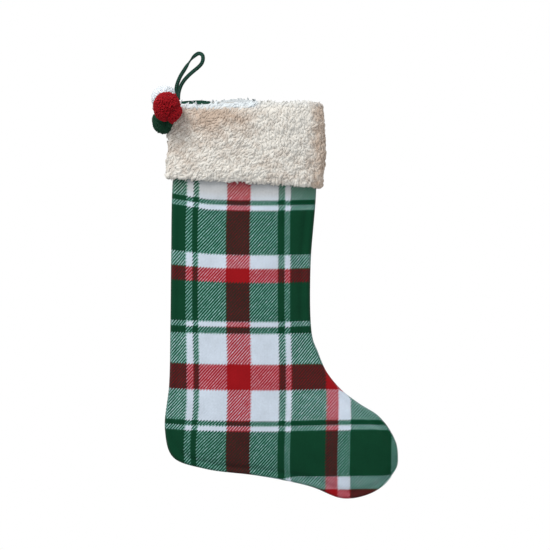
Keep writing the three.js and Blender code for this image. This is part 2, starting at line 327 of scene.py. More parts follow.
class Graph:
    """A short way to build a node material. Any input may be a number, a colour or another node's output."""

    def __init__(self, name):
        self.material = bpy.data.materials.new(name)
        self.material.use_nodes = True
        self.tree = self.material.node_tree
        self.shader = self.tree.nodes["Principled BSDF"]

    def put(self, socket, value):
        if isinstance(value, bpy.types.NodeSocket):
            self.tree.links.new(value, socket)
        elif isinstance(value, (tuple, list)) and socket.type == "RGBA":
            socket.default_value = (*value, 1)[:4]
        else:
            socket.default_value = value

    def math(self, operation, *inputs):
        made = self.tree.nodes.new("ShaderNodeMath")
        made.operation = operation
        for place, value in enumerate(inputs):
            self.put(made.inputs[place], value)
        return made.outputs[0]

    def total(self, *values):
        """The sum of two or more numbers."""
        result = values[0]
        for value in values[1:]:
            result = self.math("ADD", result, value)
        return result

    def product(self, *values):
        result = values[0]
        for value in values[1:]:
            result = self.math("MULTIPLY", result, value)
        return result

    def outputs(self, kind, inputs, **settings):
        """Adds a node and gives all its outputs by name."""
        made = self.tree.nodes.new(kind)
        for key, value in settings.items():
            setattr(made, key, value)
        for key, value in inputs.items():
            self.put(made.inputs[key], value)
        return made.outputs

    def named(self, kind, output, inputs, **settings):
        return self.outputs(kind, inputs, **settings)[output]

    def vector(self, x, y):
        return self.named("ShaderNodeCombineXYZ", "Vector", {"X": x, "Y": y})

    def lightness(self, colour):
        return self.named("ShaderNodeRGBToBW", "Val", {"Color": colour})

    def attribute(self, name, output="Fac"):
        return self.named("ShaderNodeAttribute", output, {}, attribute_name=name)

    def place(self):
        return self.named("ShaderNodeTexCoord", "Object", {})

    def noise(self, vector, scale, detail=2.0):
        return self.named("ShaderNodeTexNoise", "Fac", {"Vector": vector, "Scale": scale, "Detail": detail})

    def mapped(self, value, low, high, to_low, to_high):
        inputs = {"Value": value, "From Min": low, "From Max": high, "To Min": to_low, "To Max": to_high}
        return self.named("ShaderNodeMapRange", "Result", inputs)

    def blend(self, share, one, two, blend_type="MIX"):
        made = self.tree.nodes.new("ShaderNodeMix")
        made.data_type = "RGBA"
        made.blend_type = blend_type
        sockets = [s for s in made.inputs if s.enabled]
        for socket, value in zip(sockets, (share, one, two)):
            self.put(socket, value)
        return next(s for s in made.outputs if s.enabled)

    def times(self, colour, factor):
        """A colour times a number."""
        grey = {channel: factor for channel in CHANNELS}
        scaled = self.named("ShaderNodeCombineColor", "Color", grey)
        return self.blend(1.0, colour, scaled, "MULTIPLY")

    def bands(self, value, low, high, stops):
        """Bands of plain colour: stops are (start, colour) in the value's own units."""
        share = self.mapped(value, low, high, 0.0, 1.0)
        made = self.tree.nodes.new("ShaderNodeValToRGB")
        ramp = made.color_ramp
        ramp.interpolation = "CONSTANT"
        ramp.elements.remove(ramp.elements[1])
        for i, (start, colour) in enumerate(stops):
            spot = max(0.0, (start - low) / (high - low))
            element = ramp.elements[0] if i == 0 else ramp.elements.new(spot)
            element.position = spot
            element.color = (*colour, 1)
        self.tree.links.new(share, made.inputs["Fac"])
        return made.outputs["Color"]

    def bump(self, height, distance, under=None):
        """Fine relief: distance is in metres, and under a normal that it adds to."""
        inputs = {"Height": height, "Distance": distance, "Strength": 1.0}
        if under is not None:
            inputs["Normal"] = under
        return self.named("ShaderNodeBump", "Normal", inputs)

    def finish(self, colour, roughness, normal, sheen, sheen_roughness=0.4):
        """The finished material: matt cloth or yarn, with the sheen of its fine fibres."""
        self.put(self.shader.inputs["Base Color"], colour)
        self.put(self.shader.inputs["Normal"], normal)
        self.shader.inputs["Roughness"].default_value = roughness
        self.shader.inputs["Specular IOR Level"].default_value = 0.05
        self.shader.inputs["Sheen Weight"].default_value = sheen
        self.shader.inputs["Sheen Roughness"].default_value = sheen_roughness
        self.shader.inputs["Sheen Tint"].default_value = (1, 1, 1, 1)
        return self.material


CREAM_PILE = (0.74, 0.70, 0.64)
# The tan is partly the pile's own colour and partly painted shade; the bluish white is a painted highlight
# over the rim.
TAN_AND_SHADE_PILE = (0.53, 0.415, 0.33)
RIM_HIGHLIGHT_PILE = (0.72, 0.76, 0.78)
WHITE_YARN = (0.553, 0.61, 0.69)
GREEN_YARN = (0.004, 0.045, 0.02)
RED_YARN = (0.288, 0.0066, 0.0097)
LINING_DYE = (0.012, 0.06, 0.04)
TAPE_DYE = (0.011, 0.04, 0.028)
GREEN_THREAD = (0.01, 0.05, 0.03)
CREAM_THREAD = (0.7, 0.65, 0.58)
TAPE_THREAD = (0.05, 0.14, 0.10)

# Where each band of the plaid starts, in millimetres: across for the warp, upwards for the weft.
WARP_BANDS = [
    (-80, GREEN_YARN), (-17.1, WHITE_YARN), (-9.1, GREEN_YARN), (-1.8, WHITE_YARN), (34.3, RED_YARN),
    (65.6, WHITE_YARN), (101.5, GREEN_YARN), (110.3, WHITE_YARN), (117.3, GREEN_YARN), (162.6, RED_YARN),
    (178.6, WHITE_YARN), (193.8, GREEN_YARN), (246.7, WHITE_YARN),
]
WEFT_BANDS = [
    (-600, RED_YARN), (-564.3, WHITE_YARN), (-546, GREEN_YARN), (-483.2, WHITE_YARN), (-476.7, GREEN_YARN),
    (-470.2, WHITE_YARN), (-431, RED_YARN), (-397.6, WHITE_YARN), (-358.3, GREEN_YARN), (-350.1, WHITE_YARN),
    (-342.2, GREEN_YARN), (-292.1, RED_YARN), (-274.7, WHITE_YARN), (-257.3, GREEN_YARN), (-201, WHITE_YARN),
    (-194.4, GREEN_YARN), (-187.6, WHITE_YARN), (-148, RED_YARN), (-112, WHITE_YARN),
]
WARP_RANGE = (-80.0, 290.0)
WEFT_RANGE = (-600.0, -40.0)
TWILL_ACROSS = 3.85  # from one diagonal line to the next, across the cloth and up it
TWILL_UP = 4.35
RAGGED_BY = 1.1  # how far the lines make the borders between two bands uneven
CUFF_SHADE_HEIGHTS = (-192.0, -176.0)  # between these heights the cloth turns to painted shade below the hem: the cuff's shadow, warmed as by light thrown back from the cream pile
CUFF_SHADE_TINT = (0.84, 0.77, 0.69)


def twill_lines(g, weave, across, up):
    """The diagonal lines as a wave from -1 to 1, and a second number that breaks them up."""
    warp_turns = g.math("DIVIDE", across, TWILL_ACROSS)
    weft_turns = g.math("DIVIDE", up, TWILL_UP)
    turns = g.math("SUBTRACT", warp_turns, weft_turns)
    drift = g.product(g.noise(weave, 0.02, 1.0), 1.5)
    wave = g.math("SINE", g.total(g.product(turns, 2 * math.pi), drift))
    along = g.product(g.total(warp_turns, weft_turns), 0.3)
    breaks = g.mapped(g.noise(g.vector(turns, along), 1.1, 2.0), 0.25, 0.75, -1.0, 1.0)
    return wave, breaks


def warp_share(g, lighter, redder, wave, breaks, fuzz):
    """How much of the face the warp covers, from 0 to 1. lighter and redder compare it with the weft."""
    apart = g.math("ABSOLUTE", lighter)
    for_lightness = g.product(lighter, -0.16)
    for_redness = g.product(redder, g.mapped(apart, 0.0, 0.55, 0.4, 0.03))
    contrast = g.total(g.product(apart, 0.45), 0.15)
    for_lines = g.product(g.total(wave, g.product(breaks, 0.3)), contrast)
    for_fuzz = g.mapped(fuzz, 0.2, 0.8, -0.15, 0.15)
    share = g.total(0.45, for_lightness, for_redness, for_lines, for_fuzz)
    return g.mapped(share, 0.0, 1.0, 0.0, 1.0)


def blurred_mix(g, one, two, share):
    """Two yarns blurred by the nap. They mix as powers, which is darker than their plain average. one and
    two are the red, green and blue of each."""
    rest = g.math("SUBTRACT", 1.0, share)
    mixed = {}
    for channel in CHANNELS:
        mixed[channel] = g.product(g.math("POWER", one[channel], share), g.math("POWER", two[channel], rest))
    return g.named("ShaderNodeCombineColor", "Color", mixed)


def plaid_flannel():
    """Twill flannel in three colours of yarn. Where two colours cross, the darker or redder yarn covers a
    little more of the face. The lines show the more, the further apart the two are in lightness."""
    g = Graph("plaid_flannel")
    weave = g.attribute("weave", "Vector")
    place = g.outputs("ShaderNodeSeparateXYZ", {"Vector": weave})
    across, up = place["X"], place["Y"]
    wave, breaks = twill_lines(g, weave, across, up)
    fuzz = g.noise(weave, 0.4, 2.0)
    ragged = g.product(wave, RAGGED_BY)
    warp = g.bands(g.total(across, ragged), *WARP_RANGE, WARP_BANDS)
    weft = g.bands(g.total(up, ragged), *WEFT_RANGE, WEFT_BANDS)
    warp_parts = g.outputs("ShaderNodeSeparateColor", {"Color": warp})
    weft_parts = g.outputs("ShaderNodeSeparateColor", {"Color": weft})
    lighter = g.math("SUBTRACT", g.lightness(warp), g.lightness(weft))
    redder = g.math("SUBTRACT", warp_parts["Red"], weft_parts["Red"])
    share = warp_share(g, lighter, redder, wave, breaks, fuzz)
    cloth = blurred_mix(g, warp_parts, weft_parts, share)
    # Painted shade below the cuff's hem, warmed as by light from the cream pile.
    cuff_shade = g.blend(g.mapped(up, *CUFF_SHADE_HEIGHTS, 0.0, 1.0), (1, 1, 1), CUFF_SHADE_TINT)
    cloth = g.blend(1.0, cloth, cuff_shade, "MULTIPLY")
    # The lighter yarn's lines are made brighter still: a painted highlight on the raised yarns.
    raised = g.total(g.product(lighter, wave, 0.2), 1.0)
    patches = g.mapped(g.noise(weave, 0.045, 3.0), 0.3, 0.7, 0.94, 1.06)
    streaks = g.noise(g.vector(across, g.product(up, 0.1)), 0.5, 2.0)
    streaks = g.mapped(streaks, 0.3, 0.7, 0.975, 1.02)
    tone = g.product(raised, g.mapped(fuzz, 0.2, 0.8, 0.93, 1.07), patches, streaks)
    relief = g.bump(wave, 0.00005)
    return g.finish(g.times(cloth, tone), 0.95, relief, sheen=0.03, sheen_roughness=0.5)


def lining_cloth():
    """Plain dark green cloth with a fine square weave."""
    g = Graph("lining_cloth")
    weave = g.attribute("weave", "Vector")
    place = g.outputs("ShaderNodeSeparateXYZ", {"Vector": weave})
    waves = [g.math("SINE", g.product(place[axis], 9.0)) for axis in ("X", "Y")]
    threads = g.product(*waves)
    cloud = g.noise(weave, 0.05, 3.0)
    tone = g.product(g.mapped(threads, -1.0, 1.0, 0.9, 1.1), g.mapped(cloud, 0.3, 0.7, 0.85, 1.15))
    colour = g.times(LINING_DYE, tone)
    relief = g.bump(cloud, 0.001, under=g.bump(threads, 0.00006))
    return g.finish(colour, 0.75, relief, sheen=0.1)


def sherpa():
    """Curled pile. The attributes are tan and rim, where the pile is warmer and where it is whiter, tone,
    which differs from lock to lock, and rise, from root to top along each lock. The tan is partly the pile's
    own colour and partly painted shade, the whiter rim is a painted highlight, and the roots, low in rise,
    are darkened as painted shade."""
    g = Graph("sherpa_pile")
    place = g.place()
    drift = g.noise(place, 22.0, 2.0)
    fibres = g.noise(place, 500.0, 4.0)
    tufts = g.noise(place, 110.0, 2.0)
    warm_drift = g.mapped(drift, 0.35, 0.65, -0.2, 0.2)
    warm_tufts = g.mapped(tufts, 0.35, 0.65, 0.22, -0.22)
    # Tan that is partly the pile's own colour and partly painted shade, then whiter where the rim has a
    # painted highlight.
    tan_and_shade = g.total(g.attribute("tan"), warm_drift, warm_tufts)
    colour = g.blend(g.mapped(tan_and_shade, 0.0, 1.0, 0.0, 1.0), CREAM_PILE, TAN_AND_SHADE_PILE)
    colour = g.blend(g.attribute("rim"), colour, RIM_HIGHLIGHT_PILE)
    lock_tone = g.mapped(g.attribute("tone"), 0.0, 1.0, 0.92, 1.06)
    # Darker towards the roots of the locks: painted shade between them.
    depth_shade = g.mapped(g.attribute("rise"), 0.0, 1.0, 0.86, 1.04)
    tuft_tone = g.mapped(tufts, 0.35, 0.65, 0.95, 1.04)
    tone = g.product(lock_tone, depth_shade, tuft_tone, g.mapped(fibres, 0.25, 0.75, 0.91, 1.07))
    return g.finish(g.times(colour, tone), 0.95, g.bump(fibres, 0.0006), sheen=0.1, sheen_roughness=0.6)


def wool(name, colour, core):
    """Cut yarn. The attributes are tone, which differs from strand to strand, and rise, from the core to the
    cut end, which darkens the yarn towards the core as painted shade. core is the tone at the core, the
    depth of that painted shade."""
    g = Graph(name)
    fibres = g.noise(g.place(), 1400.0, 3.0)
    strand_tone = g.mapped(g.attribute("tone"), 0.0, 1.0, 0.86, 1.12)
    # Painted shade among the strands, as deep at the core as core sets.
    depth_shade = g.mapped(g.attribute("rise"), 0.0, 1.0, core, 1.1)
    tone = g.product(strand_tone, depth_shade, g.mapped(fibres, 0.25, 0.75, 0.85, 1.15))
    return g.finish(g.times(colour, tone), 0.95, g.bump(fibres, 0.0003), sheen=0.06, sheen_roughness=0.5)


def tape_cloth():
    """The dark green cotton of the hanging loop, a little faded in places."""
    g = Graph("loop_tape")
    place = g.place()
    threads = g.noise(place, 1500.0, 2.0)
    faded = g.noise(place, 60.0, 3.0)
    tone = g.product(g.mapped(threads, 0.2, 0.8, 0.7, 1.3), g.mapped(faded, 0.3, 0.7, 0.75, 1.3))
    colour = g.times(TAPE_DYE, tone)
    return g.finish(colour, 0.8, g.bump(threads, 0.0003), sheen=0.2)


def thread_material(name, colour):
    """Matt sewing thread."""
    g = Graph(name)
    twist = g.noise(g.place(), 2500.0, 1.0)
    colour = g.times(colour, g.mapped(twist, 0.2, 0.8, 0.75, 1.2))
    return g.finish(colour, 0.6, g.bump(twist, 0.0001), sheen=0.1)


# ------------------------------ the layers of the stocking

FINE = 601
HEEL_LINE = centripetal(HEEL_EDGE, FINE)
INSTEP_LINE = centripetal(INSTEP_EDGE, FINE)


def even_rows(count):
    """Values of u from 0 at the rim to 1 at the toe, spaced evenly along the middle of the stocking."""
    middle = (HEEL_LINE + INSTEP_LINE) / 2
    along = np.concatenate([[0], np.cumsum(np.linalg.norm(np.diff(middle, axis=0), axis=1))])
    return np.interp(np.linspace(0, along[-1], count), along, np.linspace(0, 1, FINE))


def edge_at(line, u):
    """Points on one of the two edges, in the seam plane."""
    samples = np.linspace(0, 1, FINE)
    x, z = (np.interp(u, samples, line[:, k]) for k in (0, 1))
    return np.column_stack([x, 0 * x, z])


def layer(half, u, v, lift=0.0, depth=None, heel_inset=0.0, instep_inset=0.0, rise=0.0):
    """A grid of points of one layer: rows at u from rim to toe, columns at v from the heel edge to the
    instep edge. lift moves the layer out from the seam plane, depth is its swell and rise how far its rim is
    raised. The insets move its edges in, or out where they are negative."""
    depth = half["depth"] if depth is None else depth
    heel, instep = edge_at(HEEL_LINE, u), edge_at(INSTEP_LINE, u)
    across = unit(instep - heel)
    toeward = np.column_stack([across[:, 2], 0 * u, -across[:, 0]])
    near_toe = smoothstep(u, 1 - END_SHARE, 1)[:, None]
    heel_inset = np.broadcast_to(heel_inset, u.shape)[:, None]
    instep_inset = np.broadcast_to(instep_inset, u.shape)[:, None]
    heel = heel + across * heel_inset - toeward * near_toe * np.maximum(heel_inset, 0)
    instep = instep - across * instep_inset - toeward * near_toe * np.maximum(instep_inset, 0)
    angle = math.pi * v
    share = ((1 - np.cos(angle)) / 2)[None, :, None]
    grid = heel[:, None, :] * (1 - share) + instep[:, None, :] * share
    grid = grid + (toeward * near_toe * TOE_BOW)[:, None, :] * 4 * share * (1 - share)
    along = np.maximum(0, (u - TOE_TAPER_START) / (1 - TOE_TAPER_START))
    depth_share = np.sqrt(np.maximum(0, 1 - along ** 2))
    depth = np.broadcast_to(depth, u.shape)
    swell = (depth * depth_share)[:, None] * (np.maximum(np.sin(angle), 0) ** FULLNESS)[None, :]
    grid[..., 1] = half["side"] * (SEAM_HALF_GAP + lift + swell)
    near_rim = np.maximum(0, 1 - u / CUFF_SPAN)[:, None]
    lean = half["rim_shift"] * (np.sin(angle) * (1 - share[0, :, 0]))[None, :]
    grid[..., 2] += near_rim * (rise + lean)
    return grid


def drawn_up(across, up):
    """How far the cross bands are drawn up: at the heel edge, mostly in the upper leg, and in the toe."""
    down = -up
    heel_side = np.maximum(0, 50 - across)
    heel_edge = np.maximum(0, 12 - across)
    in_leg = 0.045 * heel_side * (1 - 0.55 * smoothstep(down, 300, 350))
    in_upper_leg = 0.10625 * heel_edge * smoothstep(up, -305, -200)
    in_toe = 2 * smoothstep(across, 95, 215)
    at_sole = 4 * smoothstep(down, 490, 530) * smoothstep(across, 95, 130)
    return in_leg + in_upper_leg + in_toe + at_sole


def swayed(across, up):
    """How far the lengthwise bands sway towards the toe: most at the ankle, and back again in the foot."""
    down = -up
    at_ankle = 1.6 * np.exp(-((up + 415) / 55) ** 2)
    under_cuff = 1.4 * smoothstep(up, -230, -170) * (1 - 0.75 * smoothstep(across, 20, 130))
    in_foot = -0.6 * smoothstep(down, 480, 520)
    at_heel = -2 * smoothstep(down, 440, 500) * smoothstep(-across, -30, 0)
    return at_ankle + under_cuff + in_foot + at_heel


def weave_coordinates(grid, shift):
    """Where each point lies on the flat cloth: across and up. The cloth is measured along its surface, so
    the pattern isn't stretched where it turns round an edge. shift moves the pattern across."""
    middle = grid.shape[1] // 2
    steps = np.linalg.norm(np.diff(grid, axis=1), axis=2)
    along = np.concatenate([np.zeros((len(grid), 1)), np.cumsum(steps, axis=1)], axis=1)
    along = along - along[:, middle:middle + 1]
    flat = grid.copy()
    flat[..., 1] = 0
    chord = unit(flat[:, -1] - flat[:, 0])
    reach = np.sum((flat - flat[:, middle:middle + 1]) * chord[:, None, :], axis=2)
    cloth = flat + chord[:, None, :] * (along - reach)[..., None]
    across, up = cloth[..., 0], cloth[..., 2]
    return np.stack([across + shift - swayed(across, up), up - drawn_up(across, up), 0 * across], axis=-1)


def soft_noise(grid, wave, seed):
    """Smooth random height at each point, roughly from -1 to 1, with bumps about a wave long."""
    offset = Vector((seed * 17.3, seed * 5.1, seed * 9.7))
    flat = grid.reshape(-1, 3) / wave
    values = [noise.fractal(Vector(p) + offset, 1.0, 2.0, 2) for p in flat]
    return np.array(values).reshape(grid.shape[:2])


BACK_PATTERN_SHIFT = 11.0  # the back is cut from another place of the cloth


def sheet_piece(name, outer, inner, half, node):
    """A closed sheet that rides on the stocking in place of one CAD node."""
    verts, faces, ring = closed_sheet(outer, inner)
    shift = 0.0 if half is FRONT else BACK_PATTERN_SHIFT
    flat = weave_coordinates(outer, shift).reshape(-1, 3)
    weave = np.vstack([flat, flat, flat[ring]])
    piece = new_piece(name, verts * MM, faces, {"weave": weave})
    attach(piece, "stocking")
    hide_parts(node)
    return piece


SHELL_THICKNESS = 1.5
SHELL_RIM_DROP = 3  # the shell ends this far below the fold of the lining
# The seam allowance shows as a ridge along the edge, with a shallow dip inside it.
ALLOWANCE_RIDGE = {"height": 1.6, "at": 6, "width": 3.2}
ALLOWANCE_DIP = {"height": -1.5, "at": 13, "width": 4}
LINING_THICKNESS = 0.8
LINING_INSET = 4.5
LINING_DEPTH_LOSS = 3.2
LINING_RISE = 3.8
FOLD_SHARE = 0.006  # the share of the length over which the lining is folded over the shell's rim


def ridge(from_edge, height, at, width):
    return height * np.exp(-((from_edge - at) / width) ** 2)


def shell_panel(half, name, node, material):
    """One half of the flannel stocking, with soft waves and the ridge of its seam allowance."""
    u, v = even_rows(200), np.linspace(0, 1, 85)
    outer = layer(half, u, v, lift=SHELL_THICKNESS, rise=-SHELL_RIM_DROP)
    inner = layer(half, u, v, rise=-SHELL_RIM_DROP)
    from_heel = np.linalg.norm(outer - outer[:, :1], axis=2)
    from_instep = np.linalg.norm(outer - outer[:, -1:], axis=2)
    from_edge = np.minimum(from_heel, from_instep)
    allowance = ridge(from_edge, **ALLOWANCE_RIDGE) + ridge(from_edge, **ALLOWANCE_DIP)
    allowance *= (1 - smoothstep(u, 0.97, 1))[:, None]
    waves = 1.3 * soft_noise(outer, 95, 3 + half["side"]) + 0.5 * soft_noise(outer, 34, 8 + half["side"])
    height = allowance * smoothstep(from_edge, 0, 5) + waves * smoothstep(from_edge, 0, 12)
    relief = facing_out(outer, half) * height[..., None]
    piece = sheet_piece(name, outer + relief, inner + relief, half, node)
    piece.data.materials.append(material)


def lining_panel(half, name, node, material):
    """One half of the lining: a smaller stocking inside the shell, folded over the shell's rim. The fold
    shows above the cuff on the heel side only."""
    fold = np.array([0, 0.002, 0.004, 0.006])
    u = np.concatenate([fold, even_rows(120)[1:]])
    v = np.linspace(0, 1, 49)
    over_rim = (LINING_DEPTH_LOSS + 1) * (1 - smoothstep(u, 0, FOLD_SHARE))
    sizes = {
        "depth": half["depth"] - LINING_DEPTH_LOSS + over_rim,
        "heel_inset": LINING_INSET * smoothstep(u, -0.005, 0.03),
        "instep_inset": LINING_INSET,
        "rise": LINING_RISE * (1 - smoothstep(v, 0.25, 0.36)),
    }
    outer = layer(half, u, v, lift=LINING_THICKNESS, **sizes)
    inner = layer(half, u, v, **sizes)
    piece = sheet_piece(name, outer, inner, half, node)
    piece.data.materials.append(material)


# ------------------------------ the sherpa cuff

CUFF_THICKNESS = {"rim": 3.5, "full": 9.0, "hem": 6.5}
RIM_ROUND_TO, HEM_ROUND_FROM = 0.2, 0.85  # shares from rim to hem between which the pile is thickest
HEEL_OVERHANG = {"rim": 5.5, "hem": 11.5, "tuft": 2.5}  # how far the pile stands out past the shell's edges
INSTEP_OVERHANG = {"rim": 9.5, "middle": 14.5, "hem": 8.5}
HEM_AT = 0.948
CUFF_RISE = 1.5
RIM_FLUFF_AT = 0.458  # where along the rim the pile stands highest
RIM_FLUFF = {"front": {"height": 1.3, "width": 0.15}, "back": {"height": 3.2, "width": 0.09}}
PILE_SEED = {"front": 11, "back": 12}
BED_DEPTH = 1.5  # how far below the full thickness of the pile its bed lies
LUMP_HEIGHT = 1.3  # how high the bumps of the bed stand
# How far each layer stands off the shell, and the share of the overhang it takes at the sides.
BACKING_OUTSIDE, BACKING_INSIDE = (1.6, 0.45), (0.6, 0.35)
BED_UNDERSIDE = (1.9, 0.5)
BED_SIDE_SHARE = 0.8
LOCK_SPACING = 2.6
LOCK_RINGS = 7
LOCK_SIDES = 6
LOCK_LENGTH = (6, 11)
LOCK_RADIUS = (1.1, 2.4)
LOCK_STAND = (0.3, 1.3)  # how high the middle of a lock arches
LOCK_SLANT = -0.6  # how far the locks on the heel side slant from straight down, in radians
LOCK_STRAY = {"patch": 0.6, "lock": 0.3}  # how far they stray from that, together and each on its own
DOWN = np.array([0.0, 0.0, -1.0])


def pile_thickness(w):
    """How thick the pile is at w, from 0 at the rim to 1 at the hem."""
    rounded = np.sin(math.pi / 2 * np.minimum(1, w / RIM_ROUND_TO))
    over_rim = CUFF_THICKNESS["rim"] + (CUFF_THICKNESS["full"] - CUFF_THICKNESS["rim"]) * rounded
    at_hem = smoothstep(w, HEM_ROUND_FROM, 1)
    return over_rim * (1 - at_hem) + CUFF_THICKNESS["hem"] * at_hem


def overhang(w):
    """How far the pile stands out past the shell's heel edge and instep edge at w."""
    rim, middle, hem = (INSTEP_OVERHANG[key] for key in ("rim", "middle", "hem"))
    instep = rim + (hem - rim) * w + (middle - (rim + hem) / 2) * np.sin(math.pi * w)
    rim, hem, tuft = (HEEL_OVERHANG[key] for key in ("rim", "hem", "tuft"))
    heel = rim + (hem - rim) * smoothstep(w, 0, 0.35) + tuft * np.exp(-((w - 0.42) / 0.08) ** 2)
    return heel, instep


def cuff_layer(half, label, w, v, stand, side_share):
    """A layer of the cuff: stand is how far it stands off the shell in the middle, and side_share how much
    of the pile's overhang it takes at the sides. Its rim is lowest at the instep."""
    heel, instep = overhang(w)
    fluff = RIM_FLUFF[label]
    fluff = fluff["height"] * np.exp(-((v - RIM_FLUFF_AT) / fluff["width"]) ** 4)
    rise = CUFF_RISE + fluff - 3 * smoothstep(v, 0.8, 0.95)
    depth = half["depth"] + SHELL_THICKNESS + stand
    insets = {"heel_inset": -heel * side_share, "instep_inset": -instep * side_share}
    grid = layer(half, w * CUFF_SPAN, v, depth=depth, rise=rise, **insets)
    grid[..., 1] = np.minimum(grid[..., 1], BACK_PLANE)
    return grid


def scattered(verts, faces, spacing, rng):
    """Points spread evenly over some four-sided faces, at least spacing apart, with the faces' normals."""
    corners = verts[np.array(faces)]
    one = np.cross(corners[:, 1] - corners[:, 0], corners[:, 2] - corners[:, 0])
    two = np.cross(corners[:, 2] - corners[:, 0], corners[:, 3] - corners[:, 0])
    areas = (np.linalg.norm(one, axis=1) + np.linalg.norm(two, axis=1)) / 2
    wanted = int(areas.sum() / spacing ** 2 * 4)
    picked = rng.choice(len(faces), wanted, p=areas / areas.sum())
    a, b = rng.random(wanted)[:, None], rng.random(wanted)[:, None]
    c = corners[picked]
    points = (c[:, 0] * (1 - a) + c[:, 1] * a) * (1 - b) + (c[:, 3] * (1 - a) + c[:, 2] * a) * b
    normals = unit(one[picked] + two[picked])
    cells = {}
    kept = []
    steps = list(itertools.product((-1, 0, 1), repeat=3))
    for i, point in enumerate(points):
        x, y, z = np.floor(point / spacing).astype(int).tolist()
        near = [k for dx, dy, dz in steps for k in cells.get((x + dx, y + dy, z + dz), ())]
        if all(np.sum((points[k] - point) ** 2) > spacing ** 2 for k in near):
            cells.setdefault((x, y, z), []).append(i)
            kept.append(i)
    return points[kept], normals[kept]


def pile_tint(points):
    """How tan and how white the pile is at each point: tan below the rim on the heel side and at the instep
    edge, partly the pile's own colour and partly painted shade, and whitest over the rim itself, a painted
    highlight where the rolled rim catches the light from above."""
    x, z = points[:, 0], points[:, 2]
    # Tan, partly the pile's own colour and partly painted shade under the rim and along the instep edge.
    tan_and_shade = np.exp(-((x - 24) / 46) ** 2 - ((z + 79) / 17) ** 2)
    tan_and_shade += 0.45 * np.exp(-((x + 5) / 42) ** 2 - ((z + 105) / 35) ** 2)
    tan_and_shade += 0.75 * smoothstep(x, 132, 156)
    # Painted highlight: whitest over the rim on the heel side, and whiter towards the top.
    over_rim = smoothstep(z, -70, -66.5) * (1 - smoothstep(x, 68, 82))
    white = 0.95 * over_rim + 0.3 * smoothstep(z, -68, -62)
    return {"tan": tan_and_shade, "rim": np.minimum(white, 1)}


def add_lock(bundle, root, normal, rng):
    """One lock of the pile: it comes out of the bed, lies over the locks below and ends in a thin tip. Locks
    near each other lie much the same way: slanting on the heel side and straight down on the other."""
    patch = noise.fractal(Vector(root) / 14, 1.0, 2.0, 2)
    lie = LOCK_SLANT * (1 - smoothstep(root[0], 40, 110))
    lie += LOCK_STRAY["patch"] * patch + LOCK_STRAY["lock"] * rng.normal()
    down = unit(DOWN - normal * np.dot(DOWN, normal))
    along = down * math.cos(lie) + np.cross(normal, down) * math.sin(lie)
    side = np.cross(normal, along)
    s = np.linspace(0, 1, LOCK_RINGS)[:, None]
    stand = rng.uniform(*LOCK_STAND) * (1 - 0.8 * max(0, normal[2]))
    height = np.sin(math.pi * s) * stand + 0.5 * s - 0.75
    line = root + along * (s - 0.5) * rng.uniform(*LOCK_LENGTH) + normal * height
    line = line + side * np.sin(math.pi * s * rng.uniform(0.8, 2)) * rng.uniform(-2, 2)
    girth = 0.12 + 0.88 * np.sin(math.pi * s[:, 0])
    radii = rng.uniform(*LOCK_RADIUS) * girth
    verts, faces = tube_mesh(line, radii, LOCK_SIDES, ups=np.tile(normal, (LOCK_RINGS, 1)), flat=0.5)
    # rise is low at the bottom of each lock, and the pile's material darkens it there as painted shade.
    rise = np.repeat(np.clip(0.5 + height[:, 0] / 3, 0, 1), LOCK_SIDES)
    rise = np.concatenate([rise, [0, 0.6]])
    bundle.add(verts * MM, faces, tone=rng.random(), rise=rise, **pile_tint(root[None, :]))


def tint_piece(piece, rise):
    """Gives a plain piece of the pile the attributes that the locks have. rise sets its painted shade: the
    lower, the darker.
    """
    count = len(piece.data.vertices)
    points = np.empty(count * 3)
    piece.data.vertices.foreach_get("co", points)
    tint = pile_tint(points.reshape(-1, 3) / MM)
    add_attributes(piece.data, {"tone": np.full(count, 0.5), "rise": np.full(count, rise), **tint})


def cuff_half(half, label, material):
    """The backing, the bumpy bed of the pile, and the locks that lie on it."""
    seed = PILE_SEED[label]
    rng = np.random.default_rng(seed)
    node = f"cuff_{label}"
    w, v = np.linspace(0, HEM_AT, 96), np.linspace(0, 1, 171)
    coarse_w, coarse_v = w[::3], v[::2]
    backing_outer = cuff_layer(half, label, coarse_w, coarse_v, *BACKING_OUTSIDE)
    backing_inner = cuff_layer(half, label, coarse_w, coarse_v, *BACKING_INSIDE)
    backing = sheet_piece(f"{node}_backing", backing_outer, backing_inner, half, node)
    # The backing and the bed lie under the locks: a low rise gives them painted shade.
    tint_piece(backing, 0.2)
    bed_outer = cuff_layer(half, label, w, v, pile_thickness(w) - BED_DEPTH, BED_SIDE_SHARE)
    lumps = LUMP_HEIGHT * soft_noise(bed_outer, 9, seed) + LUMP_HEIGHT * soft_noise(bed_outer, 30, seed + 5)
    bed_outer = bed_outer + facing_out(bed_outer, half) * lumps[..., None]
    verts, faces, _ = closed_sheet(bed_outer, cuff_layer(half, label, w, v, *BED_UNDERSIDE))
    bed = new_piece(f"{node}_pile_bed", verts * MM, faces)
    tint_piece(bed, 0.5)
    quads = (len(w) - 1) * (len(v) - 1)
    outside = faces[:quads] + faces[2 * quads::2]
    points, directions = scattered(verts, outside, LOCK_SPACING, rng)
    inward = np.sum(directions * (points - verts.mean(axis=0)), axis=1) < 0
    directions[inward] *= -1
    bundle = Bundle()
    for point, direction in zip(points, directions):
        add_lock(bundle, point, direction, rng)
    locks = bundle.piece(f"{node}_pile")
    for piece in (bed, locks):
        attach(piece, "stocking")
        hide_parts(node)
    for piece in (backing, bed, locks):
        piece.data.materials.append(material)


# ------------------------------ pom-poms

